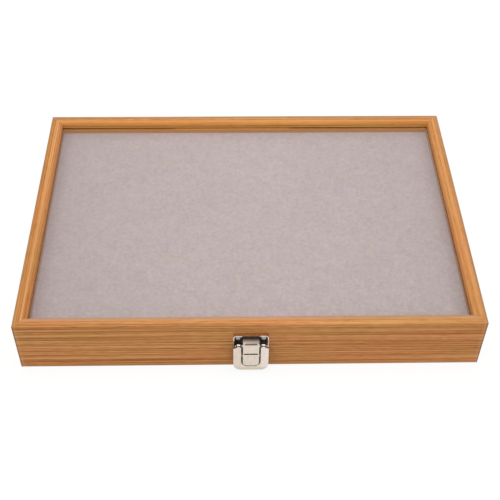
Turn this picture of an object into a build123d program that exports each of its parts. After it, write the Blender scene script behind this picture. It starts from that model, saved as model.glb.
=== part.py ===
from build123d import *
import os

os.makedirs("parts", exist_ok=True)

# A low wooden jewellery box with a glazed, framed lid. Sizes are in millimetres.
# X runs along the front, Y from the front to the back, Z up. The origin is the middle of the underside.

# Case
case_length = 350.0
case_depth = 245.0
rail_width = 10.0
base_wall_height = 24.8
seam_gap = 0.4
lid_rail_height = 22.8
crown_rise = 0.3
outer_edge_radius = 0.6
inner_edge_radius = 4.0
seam_edge_bevel = 0.5
foot_edge_radius = 0.5
corner_radius = 0.4

# Bottom panel and lining of the base
bottom_thickness = 3.0
bottom_rebate_width = 5.0
bottom_clearance = 0.2
liner_thickness = 1.5
liner_drop = 1.0
pad_thickness = 4.0
pad_clearance = 0.4
pad_edge_radius = 1.5

# Glazing of the lid, from the top of the rail downwards
lip_depth = 5.0
rabbet_width = 3.0
glass_thickness = 2.0
glass_clearance = 0.5
spacer_thickness = 3.8
spacer_proud = 0.5
facing_thickness = 1.2
facing_edge_radius = 0.6
board_thickness = 3.0
board_clearance = 0.4
lining_thickness = 1.0
bead_height = 3.5
bead_width = 3.0
bead_radius = 2.4

# Hinges
hinge_length = 30.0
hinge_inset = 60.0
leaf_height = 11.0
leaf_thickness = 0.8
knuckle_count = 3
knuckle_gap = 0.15
knuckle_radius = 1.8
hinge_pin_radius = 0.9
hinge_running_clearance = 0.05
knuckle_wall_clearance = 0.1
leaf_cut_clearance = 0.25
hinge_screw_spacing = 16.0
hinge_screw_drop = 6.2

# Wood screws
screw_head_radius = 1.9
screw_head_height = 0.8
screw_shank_radius = 0.8
screw_length = 6.5
screw_hole_clearance = 0.05

# Latch, all of pressed sheet. "out" sizes are measured from the front face of the case.
latch_sheet = 0.85
latch_width = 26.4
keeper_seam_clearance = 0.4
keeper_above_hook = 4.9
keeper_rim_out = 2.9
keeper_corner_radius = 2.0
keeper_window_height = 4.4
keeper_window_margin = 1.2
mortise_depth = 3.0
keeper_screw_side_margin = 3.6
keeper_screw_top_margin = 4.6
pivot_height = 29.6
pivot_out = 5.0
pivot_pin_radius = 0.6
pivot_running_clearance = 0.05
pivot_pin_overhang = 0.6
roll_radius = 1.95
knuckle_roll_length = 3.2
ear_gap = 0.2
ear_radius = 1.0
ear_foot_height = 14.0
ear_root_drop = 1.5
plate_height = 21.4
plate_seam_clearance = 0.4
plate_screw_spacing = 10.0
plate_screw_height = 12.0
lever_foot = 2.8
lever_corner_radius = 6.0
lever_shoulder_drop = 1.2
lever_shoulder_radius = 0.6
lever_edge_bevel = 0.25
strap_width = 12.2
strap_slit = 1.1
strap_foot_gap = 0.5
strap_foot = 8.2
hook_above_pivot = 3.9
strap_pin_drop = 8.2
strap_corner_radius = 3.2
strap_hook_clearance = 0.35
strap_bend_radius = 0.7
strap_pin_out = 4.2
strap_pin_radius = 0.8
strap_running_clearance = 0.05
strap_lug_radius = 1.7
strap_slot_length = 10.4
strap_slot_height = 1.3
strap_slot_rise = 0.7
strap_pin_overhang = 0.3

# Heights and offsets that follow from them
seam_height = base_wall_height + seam_gap
lid_top = seam_height + lid_rail_height
glass_top = lid_top - lip_depth
spacer_top = glass_top - glass_thickness
facing_top = spacer_top - spacer_thickness
board_top = facing_top - facing_thickness
lining_top = board_top - board_thickness
bead_top = lining_top - lining_thickness
rabbet_edge = rail_width - rabbet_width
lip_radius = min(inner_edge_radius, 0.9 * (lip_depth - crown_rise))
hinge_axis_height = base_wall_height + seam_gap / 2
hinge_axis_out = knuckle_radius + knuckle_wall_clearance
half_length = case_length / 2
half_depth = case_depth / 2
strap_top = pivot_height + hook_above_pivot
strap_pin_height = pivot_height - strap_pin_drop
keeper_foot = seam_height + keeper_seam_clearance
keeper_top = strap_top + keeper_above_hook
keeper_height = keeper_top - keeper_foot
keeper_window_width = strap_width + keeper_window_margin
keeper_window_foot = strap_top - latch_sheet - strap_hook_clearance

UP = Vector(0, 0, 1)
SIDES = {
    "front": (Vector(0, -1, 0), half_depth, case_length),
    "back": (Vector(0, 1, 0), half_depth, case_length),
    "left": (Vector(-1, 0, 0), half_length, case_depth),
    "right": (Vector(1, 0, 0), half_length, case_depth),
}

# Planes on the front and back faces of the case: local x is along the case, local y is height
front_face = Plane(origin=(0, -half_depth, 0), x_dir=(1, 0, 0), z_dir=(0, -1, 0))
back_face = Plane(origin=(0, half_depth, 0), x_dir=(-1, 0, 0), z_dir=(0, 1, 0))


def front_side_view(x):
    """A plane across the front at x: local x is out from the front face, local y is height."""
    return Plane(origin=(x, -half_depth, 0), x_dir=(0, -1, 0), z_dir=(-1, 0, 0))


def back_side_view(x):
    """A plane across the back at x: local x is out from the back face, local y is height."""
    return Plane(origin=(x, half_depth, 0), x_dir=(0, 1, 0), z_dir=(1, 0, 0))


def finish(builder, name):
    """Labels a finished piece and writes it."""
    builder.part.label = name
    export_step(builder.part, f"parts/{name}.step")


def mitred_side(section, side):
    """One side of a frame: the section run along that side and sawn at 45 degrees at both ends."""
    outward, distance, length = SIDES[side]
    along = (outward * -1).cross(UP)
    with BuildPart() as strip:
        with BuildSketch(Plane(origin=outward * distance, x_dir=outward * -1, z_dir=along)):
            add(section)
        extrude(amount=length / 2, both=True)
        for way in (1, -1):
            corner = outward * distance + along * (way * length / 2)
            split(bisect_by=Plane(origin=corner, z_dir=along * way - outward), keep=Keep.BOTTOM)
    return strip.part


# One wood screw, head up. Its seat is at local z = 0.
with BuildPart() as wood_screw:
    with BuildSketch(Plane.XY):
        Circle(screw_head_radius)
    extrude(amount=screw_head_height)
    with BuildSketch(Plane.XY):
        Circle(screw_shank_radius)
    extrude(amount=-screw_length)


def screw_group(plane, points):
    """Screws driven into a plane at the given points, as separate solids of one group."""
    placed = [plane.location * Pos(x, y, 0) * wood_screw.part for x, y in points]
    return Compound(children=placed)


def write_group(group, name):
    """Labels and writes a group of like solids."""
    group.label = name
    export_step(group, f"parts/{name}.step")


hinge_middles = (-half_length + hinge_inset, half_length - hinge_inset)
hinge_screw_offsets = (-hinge_screw_spacing / 2, hinge_screw_spacing / 2)
# The back face is seen from behind, so its local x is the case's x reversed
lid_hinge_points = [
    (-(middle + offset), hinge_axis_height + hinge_screw_drop)
    for middle in hinge_middles
    for offset in hinge_screw_offsets
]
base_hinge_points = [(x, 2 * hinge_axis_height - z) for x, z in lid_hinge_points]

keeper_screw_points = [
    (way * (latch_width / 2 - keeper_screw_side_margin), keeper_top - keeper_screw_top_margin)
    for way in (-1, 1)
]
plate_screw_points = [
    (way * plate_screw_spacing / 2, plate_screw_height) for way in (-1, 1)
]


def pilot_holes(plane, points):
    """The holes that wood screws need in the wood behind a plane."""
    with BuildPart() as holes:
        with BuildSketch(plane):
            with Locations(*points):
                Circle(screw_shank_radius + screw_hole_clearance)
        extrude(amount=-screw_length - screw_hole_clearance)
    return holes.part


# Base walls: plain rails with a rebate below for the bottom panel
with BuildSketch() as base_section:
    with BuildLine():
        Polyline(
            (0, 0),
            (rail_width - bottom_rebate_width, 0),
            (rail_width - bottom_rebate_width, bottom_thickness),
            (rail_width, bottom_thickness),
            (rail_width, base_wall_height),
            (0, base_wall_height),
            close=True,
        )
    make_face()
    outer_corners = base_section.vertices().group_by(Axis.X)[0].sort_by(Axis.Y)
    fillet(outer_corners[0], foot_edge_radius)
    top_corners = base_section.vertices().group_by(Axis.Y)[-1]
    chamfer(top_corners, seam_edge_bevel)

for side in SIDES:
    with BuildPart() as base_wall:
        add(mitred_side(base_section.sketch, side))
        with BuildSketch(Plane.XY):
            RectangleRounded(case_length, case_depth, corner_radius)
        extrude(amount=base_wall_height, mode=Mode.INTERSECT)
        if side == "front":
            add(pilot_holes(front_face, plate_screw_points), mode=Mode.SUBTRACT)
        if side == "back":
            add(pilot_holes(back_face, base_hinge_points), mode=Mode.SUBTRACT)
    finish(base_wall, f"base_wall_{side}")

# Bottom panel, let into the rebates and flush with the walls below
bottom_length = case_length - 2 * (rail_width - bottom_rebate_width + bottom_clearance)
bottom_depth = case_depth - 2 * (rail_width - bottom_rebate_width + bottom_clearance)
with BuildPart() as base_bottom:
    with BuildSketch(Plane.XY):
        Rectangle(bottom_length, bottom_depth)
    extrude(amount=bottom_thickness)
finish(base_bottom, "base_bottom")

# Velvet-covered strips that line the walls
liner_top = base_wall_height - liner_drop
with BuildSketch() as liner_section:
    with Locations((rail_width, bottom_thickness)):
        Rectangle(liner_thickness, liner_top - bottom_thickness, align=(Align.MIN, Align.MIN))
    liner_edge = liner_section.vertices().group_by(Axis.X)[-1].sort_by(Axis.Y)[-1]
    fillet(liner_edge, liner_thickness * 0.6)

for side in SIDES:
    with BuildPart() as wall_liner:
        add(mitred_side(liner_section.sketch, side))
    finish(wall_liner, f"wall_liner_{side}")

# Soft pad on the floor of the base
pad_length = case_length - 2 * (rail_width + liner_thickness + pad_clearance)
pad_depth = case_depth - 2 * (rail_width + liner_thickness + pad_clearance)
with BuildPart() as floor_pad:
    with BuildSketch(Plane.XY.offset(bottom_thickness)):
        Rectangle(pad_length, pad_depth)
    extrude(amount=pad_thickness)
    fillet(floor_pad.edges().group_by(Axis.Z)[-1], pad_edge_radius)
finish(floor_pad, "floor_pad")

# Lid rails: a crowned top with rounded edges, and a rabbet behind the lip for the glass
with BuildSketch() as lid_section:
    with BuildLine():
        shoulder = lid_top - crown_rise
        ThreePointArc((0, shoulder), (rail_width / 2, lid_top), (rail_width, shoulder))
        Polyline(
            (rail_width, shoulder),
            (rail_width, glass_top),
            (rabbet_edge, glass_top),
            (rabbet_edge, seam_height),
            (0, seam_height),
            (0, shoulder),
        )
    make_face()
    outer_corners = lid_section.vertices().group_by(Axis.X)[0].sort_by(Axis.Y)
    fillet(outer_corners[-1], outer_edge_radius)
    chamfer(outer_corners[0], seam_edge_bevel)
    lip_corner = lid_section.vertices().group_by(Axis.X)[-1].sort_by(Axis.Y)[-1]
    fillet(lip_corner, lip_radius)

# The keeper's window for the strap's hook, with a shallow mortise behind it in the front rail
with BuildSketch() as keeper_window:
    with Locations((0, keeper_window_foot)):
        Rectangle(keeper_window_width, keeper_window_height, align=(Align.CENTER, Align.MIN))

for side in SIDES:
    with BuildPart() as lid_rail:
        add(mitred_side(lid_section.sketch, side))
        with BuildSketch(Plane.XY):
            RectangleRounded(case_length, case_depth, corner_radius)
        extrude(amount=lid_top, mode=Mode.INTERSECT)
        if side == "front":
            add(pilot_holes(front_face, keeper_screw_points), mode=Mode.SUBTRACT)
            with BuildSketch(front_face):
                add(keeper_window.sketch)
            extrude(amount=-mortise_depth, mode=Mode.SUBTRACT)
        if side == "back":
            add(pilot_holes(back_face, lid_hinge_points), mode=Mode.SUBTRACT)
    finish(lid_rail, f"lid_rail_{side}")

# Glass pane behind the lip
with BuildPart() as lid_glass:
    with BuildSketch(Plane.XY.offset(glass_top - glass_thickness)):
        Rectangle(
            case_length - 2 * (rabbet_edge + glass_clearance),
            case_depth - 2 * (rabbet_edge + glass_clearance),
        )
    extrude(amount=glass_thickness)
finish(lid_glass, "lid_glass")

# Wooden spacer fillets that hold the backing off the glass and stand a little proud of the lip
with BuildSketch() as spacer_section:
    with Locations((rabbet_edge, facing_top)):
        Rectangle(rabbet_width + spacer_proud, spacer_thickness, align=(Align.MIN, Align.MIN))

for side in SIDES:
    with BuildPart() as spacer:
        add(mitred_side(spacer_section.sketch, side))
    finish(spacer, f"spacer_{side}")

# Backing of the lid: velvet facing, board and lining card, one behind the other
board_length = case_length - 2 * (rabbet_edge + board_clearance)
board_depth = case_depth - 2 * (rabbet_edge + board_clearance)
with BuildPart() as panel_velvet:
    with BuildSketch(Plane.XY.offset(board_top)):
        Rectangle(board_length, board_depth)
    extrude(amount=facing_thickness)
    fillet(panel_velvet.edges().group_by(Axis.Z)[-1], facing_edge_radius)
finish(panel_velvet, "panel_velvet")

with BuildPart() as panel_board:
    with BuildSketch(Plane.XY.offset(lining_top)):
        Rectangle(board_length, board_depth)
    extrude(amount=board_thickness)
finish(panel_board, "panel_board")

with BuildPart() as lid_lining:
    with BuildSketch(Plane.XY.offset(bead_top)):
        Rectangle(board_length, board_depth)
    extrude(amount=lining_thickness)
finish(lid_lining, "lid_lining")

# Quarter-round beads that hold the backing up in the rabbet
with BuildSketch() as bead_section:
    with Locations((rabbet_edge, bead_top)):
        Rectangle(bead_width, bead_height, align=(Align.MIN, Align.MAX))
    bead_corner = bead_section.vertices().group_by(Axis.X)[-1].sort_by(Axis.Y)[0]
    fillet(bead_corner, bead_radius)

for side in SIDES:
    with BuildPart() as bead:
        add(mitred_side(bead_section.sketch, side))
    finish(bead, f"retaining_bead_{side}")

# Hinges: two leaves with interleaved knuckles on one pin, screwed flat on the back of the case
knuckle_pitch = hinge_length / knuckle_count


def knuckle_middle(middle, index):
    """The x of one knuckle's middle, counted from the hinge's low end."""
    return middle - hinge_length / 2 + (index + 0.5) * knuckle_pitch


def hinge_leaf(middle, way, own):
    """A leaf that reaches up (way 1) or down (way -1) from the pin and carries its own knuckles."""
    others = [index for index in range(knuckle_count) if index not in own]
    cut_height = knuckle_radius + leaf_cut_clearance
    with BuildPart() as leaf:
        with BuildSketch(back_face):
            with Locations((-middle, hinge_axis_height + way * leaf_height / 2)):
                Rectangle(hinge_length, leaf_height)
        extrude(amount=leaf_thickness)
        with BuildSketch(back_face):
            for index in others:
                with Locations((-knuckle_middle(middle, index), hinge_axis_height + way * cut_height / 2)):
                    Rectangle(knuckle_pitch + knuckle_gap, cut_height)
            with Locations(*[
                (-(middle + offset), hinge_axis_height + way * hinge_screw_drop)
                for offset in hinge_screw_offsets
            ]):
                Circle(screw_shank_radius + screw_hole_clearance)
        extrude(amount=leaf_thickness, mode=Mode.SUBTRACT)
        for index in own:
            with BuildSketch(back_side_view(knuckle_middle(middle, index))):
                with Locations((hinge_axis_out, hinge_axis_height)):
                    Circle(knuckle_radius)
            extrude(amount=(knuckle_pitch - knuckle_gap) / 2, both=True)
        with BuildSketch(back_side_view(middle)):
            with Locations((hinge_axis_out, hinge_axis_height)):
                Circle(hinge_pin_radius + hinge_running_clearance)
        extrude(amount=hinge_length, both=True, mode=Mode.SUBTRACT)
    return leaf


base_knuckles = range(0, knuckle_count, 2)
lid_knuckles = range(1, knuckle_count, 2)
for side, middle in zip(("left", "right"), hinge_middles):
    finish(hinge_leaf(middle, -1, base_knuckles), f"hinge_leaf_base_{side}")
    finish(hinge_leaf(middle, 1, lid_knuckles), f"hinge_leaf_lid_{side}")
    with BuildPart() as hinge_pin:
        with BuildSketch(back_side_view(middle)):
            with Locations((hinge_axis_out, hinge_axis_height)):
                Circle(hinge_pin_radius)
        extrude(amount=(hinge_length - knuckle_gap) / 2, both=True)
    finish(hinge_pin, f"hinge_pin_{side}")

leaf_face = back_face.offset(leaf_thickness)
write_group(screw_group(leaf_face, base_hinge_points), "hinge_screws_base")
write_group(screw_group(leaf_face, lid_hinge_points), "hinge_screws_lid")

# Latch sizes that several of its pieces share
lever_back = pivot_out + roll_radius - latch_sheet
strap_half = strap_width / 2
window_half = strap_half + strap_slit
ear_inner = window_half + knuckle_roll_length + ear_gap
ear_outer = ear_inner + latch_sheet
plate_top = base_wall_height - plate_seam_clearance
plate_foot = plate_top - plate_height

# Keeper: a dished plate on the lid with a window for the strap's hook
with BuildPart() as latch_keeper:
    with BuildSketch(front_face):
        with Locations((0, keeper_foot + keeper_height / 2)):
            Rectangle(latch_width, keeper_height)
    extrude(amount=keeper_rim_out)
    fillet(latch_keeper.edges().filter_by(Axis.Y).group_by(Axis.Z)[-1], keeper_corner_radius)
    with BuildSketch(front_face.offset(latch_sheet)) as dish:
        with Locations((0, keeper_foot)):
            Rectangle(
                latch_width - 2 * latch_sheet,
                keeper_height - latch_sheet,
                align=(Align.CENTER, Align.MIN),
            )
        fillet(dish.vertices().group_by(Axis.Y)[-1], keeper_corner_radius - latch_sheet)
    extrude(amount=keeper_rim_out, mode=Mode.SUBTRACT)
    with BuildSketch(front_face):
        add(keeper_window.sketch)
        with Locations(*keeper_screw_points):
            Circle(screw_shank_radius + screw_hole_clearance)
    extrude(amount=latch_sheet, mode=Mode.SUBTRACT)
finish(latch_keeper, "latch_keeper")

# Base plate of the latch, with two ears that carry the pivot pin
with BuildPart() as latch_base_plate:
    with BuildSketch(front_face) as plate_outline:
        with Locations((0, plate_foot + plate_height / 2)):
            Rectangle(latch_width, plate_height)
        fillet(plate_outline.vertices().group_by(Axis.Y)[0], lever_corner_radius)
        with Locations(*plate_screw_points):
            Circle(screw_shank_radius + screw_hole_clearance, mode=Mode.SUBTRACT)
    extrude(amount=latch_sheet)
    for way in (-1, 1):
        with BuildSketch(front_side_view(way * (ear_inner + ear_outer) / 2)):
            with Locations((pivot_out, pivot_height)):
                Circle(ear_radius)
            with Locations((0, ear_foot_height)):
                ear_root_height = plate_top - ear_root_drop - ear_foot_height
                Rectangle(latch_sheet, ear_root_height, align=(Align.MIN, Align.MIN))
            make_hull()
        extrude(amount=latch_sheet / 2, both=True)
    with BuildSketch(front_side_view(0)):
        with Locations((pivot_out, pivot_height)):
            Circle(pivot_pin_radius + pivot_running_clearance)
    extrude(amount=latch_width, both=True, mode=Mode.SUBTRACT)
finish(latch_base_plate, "latch_base_plate")

# Pivot pin through the ears and the lever's rolled knuckles
with BuildPart() as latch_pivot_pin:
    with BuildSketch(front_side_view(0)):
        with Locations((pivot_out, pivot_height)):
            Circle(pivot_pin_radius)
    extrude(amount=ear_outer + pivot_pin_overhang, both=True)
finish(latch_pivot_pin, "latch_pivot_pin")

# Lever: a plate with a deep window, rolled over at the top round the pivot pin
window_radius = strap_corner_radius + strap_slit
window_floor = strap_foot - strap_foot_gap
lever_half = latch_width / 2
shoulder_height = pivot_height - lever_shoulder_drop
with BuildPart() as latch_lever:
    with BuildSketch(front_face.offset(lever_back)) as lever_outline:
        with BuildLine():
            Polyline(
                (-lever_half, lever_foot),
                (lever_half, lever_foot),
                (lever_half, shoulder_height),
                (ear_inner, pivot_height),
                (-ear_inner, pivot_height),
                (-lever_half, shoulder_height),
                close=True,
            )
        make_face()
        fillet(lever_outline.vertices().sort_by(Axis.Y)[:2], lever_corner_radius)
        fillet(lever_outline.vertices().sort_by(Axis.Y)[-4:-2], lever_shoulder_radius)
        with Locations((0, window_floor + pivot_height / 2)):
            RectangleRounded(2 * window_half, pivot_height, window_radius, mode=Mode.SUBTRACT)
    extrude(amount=latch_sheet)
    front_edges = latch_lever.faces().sort_by(Axis.Y)[0].edges()
    chamfer(front_edges.filter_by_position(Axis.Z, 0, pivot_height - lever_edge_bevel), lever_edge_bevel)
    for way in (-1, 1):
        with BuildSketch(front_side_view(way * (window_half + knuckle_roll_length / 2))):
            with Locations((pivot_out, pivot_height)):
                Circle(roll_radius)
        extrude(amount=knuckle_roll_length / 2, both=True)
        with BuildSketch(front_side_view(way * (window_half + latch_sheet / 2))):
            with Locations((strap_pin_out, strap_pin_height)):
                Circle(strap_lug_radius)
            with Locations((lever_back, strap_pin_height)):
                Rectangle(latch_sheet, 2 * strap_lug_radius, align=(Align.MIN, Align.CENTER))
            make_hull()
        extrude(amount=latch_sheet / 2, both=True)
    with BuildSketch(front_side_view(0)):
        with Locations((pivot_out, pivot_height)):
            Circle(pivot_pin_radius + pivot_running_clearance)
        with Locations((strap_pin_out, strap_pin_height)):
            Circle(strap_pin_radius)
    extrude(amount=latch_width, both=True, mode=Mode.SUBTRACT)
finish(latch_lever, "latch_lever")

# Strap pin, held in the lever's lugs
with BuildPart() as strap_pin:
    with BuildSketch(front_side_view(0)):
        with Locations((strap_pin_out, strap_pin_height)):
            Circle(strap_pin_radius)
    extrude(amount=window_half + latch_sheet + strap_pin_overhang, both=True)
finish(strap_pin, "strap_pin")

# Strap: a tongue in the lever's window, its top bent back as a hook over the keeper's window
with BuildPart() as latch_strap:
    with BuildSketch(front_face.offset(lever_back)) as strap_outline:
        with Locations((0, strap_foot)):
            Rectangle(strap_width, strap_top - strap_foot, align=(Align.CENTER, Align.MIN))
        fillet(strap_outline.vertices().group_by(Axis.Y)[0], strap_corner_radius)
        with Locations((0, strap_pin_height + strap_slot_rise)):
            SlotOverall(strap_slot_length, strap_slot_height, mode=Mode.SUBTRACT)
    extrude(amount=latch_sheet)
    hook_tip = latch_sheet + strap_hook_clearance
    with BuildSketch(front_side_view(0)):
        with Locations((hook_tip, strap_top)):
            Rectangle(lever_back + latch_sheet - hook_tip, latch_sheet, align=(Align.MIN, Align.MAX))
    extrude(amount=strap_half, both=True)
    bend = latch_strap.edges().filter_by(Axis.X).group_by(Axis.Z)[-1].sort_by(Axis.Y)[0]
    fillet(bend, strap_bend_radius)
    for way in (-1, 1):
        with BuildSketch(front_side_view(way * (strap_half - latch_sheet / 2))):
            with Locations((strap_pin_out, strap_pin_height)):
                Circle(strap_lug_radius)
            with Locations((lever_back, strap_pin_height)):
                Rectangle(latch_sheet, 2 * strap_lug_radius, align=(Align.MIN, Align.CENTER))
            make_hull()
        extrude(amount=latch_sheet / 2, both=True)
    with BuildSketch(front_side_view(0)):
        with Locations((strap_pin_out, strap_pin_height)):
            Circle(strap_pin_radius + strap_running_clearance)
    extrude(amount=strap_half, both=True, mode=Mode.SUBTRACT)
finish(latch_strap, "latch_strap")

# Screws of the latch
latch_plate_face = front_face.offset(latch_sheet)
write_group(screw_group(latch_plate_face, keeper_screw_points), "keeper_screws")
write_group(screw_group(latch_plate_face, plate_screw_points), "latch_base_screws")
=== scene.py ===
"""The looks of a low wooden jewellery box with a glazed lid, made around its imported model.

Sizes are in metres.
"""
import math

import bmesh
import bpy
from mathutils import Matrix, Vector, noise


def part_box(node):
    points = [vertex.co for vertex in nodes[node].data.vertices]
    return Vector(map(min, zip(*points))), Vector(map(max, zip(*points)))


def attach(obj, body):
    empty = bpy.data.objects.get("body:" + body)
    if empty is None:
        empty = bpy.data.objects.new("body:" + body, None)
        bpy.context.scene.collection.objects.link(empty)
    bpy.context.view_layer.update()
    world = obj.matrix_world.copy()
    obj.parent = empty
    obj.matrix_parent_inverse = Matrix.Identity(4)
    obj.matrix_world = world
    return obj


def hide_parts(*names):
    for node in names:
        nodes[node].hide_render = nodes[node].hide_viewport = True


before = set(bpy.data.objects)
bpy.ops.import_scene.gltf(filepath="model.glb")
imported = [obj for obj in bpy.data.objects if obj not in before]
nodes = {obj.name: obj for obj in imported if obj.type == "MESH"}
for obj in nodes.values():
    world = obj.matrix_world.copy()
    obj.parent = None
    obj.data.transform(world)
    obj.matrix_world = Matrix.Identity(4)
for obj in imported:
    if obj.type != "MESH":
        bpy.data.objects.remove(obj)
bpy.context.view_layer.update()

# Base walls. Four rails of straight-grained, orange-brown stained wood under a thin satin varnish,
# planed, eased on their outer edges, mitred at the corners and glued. The grain runs along each rail.
MM = 0.001
SIDES = ("front", "back", "left", "right")
# The axis that each side's rail runs along, where 0 is x and 1 is y
ALONG = {"front": 0, "back": 0, "left": 1, "right": 1}
WOOD_DARK = (0.455, 0.158, 0.033)
WOOD_MIDDLE = (0.70, 0.288, 0.080)
WOOD_LIGHT = (0.90, 0.445, 0.160)
RED_CAST = (1.04, 0.985, 1.02)
GREEN_CAST = (0.965, 1.015, 0.95)
# Painted shade for the upright corners' arris, and a painted highlight just inside it
EDGE_SHADE = (0.15, 0.15, 0.08)
EDGE_HIGHLIGHT = (0.95, 0.62, 0.40)
GREYER_FOOT = (0.60, 0.48, 0.24)


class Wire:
    """One value in a material's node tree. Arithmetic on it adds Math nodes."""

    def __init__(self, finish, socket):
        self.finish = finish
        self.socket = socket

    def math(self, operation, *values):
        return self.finish.node("ShaderNodeMath", {"operation": operation}, list(values))

    def __add__(self, other):
        return self.math("ADD", self, other)

    def __sub__(self, other):
        return self.math("SUBTRACT", self, other)

    def __rsub__(self, other):
        return self.math("SUBTRACT", other, self)

    def __mul__(self, other):
        return self.math("MULTIPLY", self, other)

    def either(self, other):
        return self.math("MAXIMUM", self, other)

    def distance(self, other=0.0):
        return self.math("ABSOLUTE", self - other)

    __radd__ = __add__
    __rmul__ = __mul__


class Finish:
    """A material, or the world, while its nodes are being joined up."""

    def __init__(self, name, world=False):
        owners = bpy.data.worlds if world else bpy.data.materials
        self.owner = owners.new(name)
        self.owner.use_nodes = True
        self.tree = self.owner.node_tree
        self.tree.nodes.clear()

    def node(self, kind, settings=None, values=(), outlet=0):
        """Adds a node: settings first, then a value or a wire for each socket, by place or by name."""
        node = self.tree.nodes.new(kind)
        for key, value in (settings or {}).items():
            setattr(node, key, value)
        pairs = values.items() if isinstance(values, dict) else enumerate(values)
        for key, value in pairs:
            if isinstance(key, str):
                socket = next(s for s in node.inputs if s.name == key and s.enabled)
            else:
                socket = node.inputs[key]
            if isinstance(value, Wire):
                self.tree.links.new(value.socket, socket)
            else:
                socket.default_value = value
        if isinstance(outlet, str):
            return Wire(self, next(s for s in node.outputs if s.name == outlet and s.enabled))
        return Wire(self, node.outputs[outlet])

    def place(self, scale=(1, 1, 1), offset=(0, 0, 0)):
        """Object coordinates, shifted and then scaled."""
        own = self.node("ShaderNodeTexCoord", outlet="Object")
        moved = self.node("ShaderNodeVectorMath", {"operation": "ADD"}, [own, offset])
        return self.node("ShaderNodeVectorMath", {"operation": "MULTIPLY"}, [moved, scale])

    def axes(self):
        """The three object coordinates, one wire each."""
        own = self.node("ShaderNodeTexCoord", outlet="Object")
        return [self.node("ShaderNodeSeparateXYZ", values=[own], outlet=axis) for axis in "XYZ"]

    def step(self, value, start, end):
        """Rises smoothly from 0 where value is start to 1 where it is end."""
        values = {"Value": value, "From Min": start, "From Max": end}
        return self.node("ShaderNodeMapRange", {"interpolation_type": "SMOOTHSTEP"}, values)

    def noise(self, place, scale, detail, roughness, distortion=0.0):
        """Smooth noise from 0 to 1."""
        values = {"Vector": place, "Scale": scale, "Detail": detail}
        values.update({"Roughness": roughness, "Distortion": distortion})
        return self.node("ShaderNodeTexNoise", {"noise_dimensions": "3D"}, values, "Fac")

    def ramp(self, factor, stops):
        """A colour for each value of factor, from (value, colour) stops."""
        wire = self.node("ShaderNodeValToRGB", values=[factor])
        elements = wire.socket.node.color_ramp.elements
        while len(elements) < len(stops):
            elements.new(0.5)
        for element, (position, colour) in zip(elements, stops):
            element.position = position
            element.color = (*colour, 1)
        return wire

    def blend(self, factor, first, second, how="MIX"):
        """Mixes two colours."""
        colours = [c if isinstance(c, Wire) else (*c, 1) for c in (first, second)]
        settings = {"data_type": "RGBA", "blend_type": how}
        values = {"Factor": factor, "A": colours[0], "B": colours[1]}
        return self.node("ShaderNodeMix", settings, values, "Result")

    def bump(self, height, distance, strength):
        """A normal from a height, whose full range is distance metres."""
        values = {"Height": height, "Distance": distance, "Strength": strength}
        return self.node("ShaderNodeBump", values=values)

    def surface(self, values):
        """Ends the tree in a Principled shader."""
        return self.output(self.node("ShaderNodeBsdfPrincipled", values=values))

    def output(self, shader, kind="Material"):
        end = self.tree.nodes.new("ShaderNodeOutput" + kind)
        self.tree.links.new(shader.socket, end.inputs["Surface"])
        return self.owner


def dress(piece, material):
    """Gives a piece its one material."""
    piece.data.materials.clear()
    piece.data.materials.append(material)
    for polygon in piece.data.polygons:
        polygon.material_index = 0


def shade_smooth(mesh):
    """Smooth shading on every face."""
    mesh.polygons.foreach_set("use_smooth", [True] * len(mesh.polygons))


def smooth_cad(node, bevel=0.0):
    """Shades a CAD node's curves smoothly and keeps its edges crisp, or bevels them."""
    piece = nodes[node]
    shade_smooth(piece.data)
    weld = piece.modifiers.new("weld", "WELD")
    weld.merge_threshold = 0.002 * MM
    flat = piece.modifiers.new("flat faces", "DECIMATE")
    flat.decimate_type = "DISSOLVE"
    flat.angle_limit = math.radians(1)
    if bevel:
        soft = piece.modifiers.new("soft edges", "BEVEL")
        soft.width = bevel
        soft.segments = 3
        soft.limit_method = "ANGLE"
        soft.angle_limit = math.radians(35)
        soft.harden_normals = True
    else:
        crisp = piece.modifiers.new("crisp edges", "EDGE_SPLIT")
        crisp.split_angle = math.radians(30)
        even = piece.modifiers.new("even shading", "WEIGHTED_NORMAL")
        even.mode = "FACE_AREA"
        even.keep_sharp = True
    return piece


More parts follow.
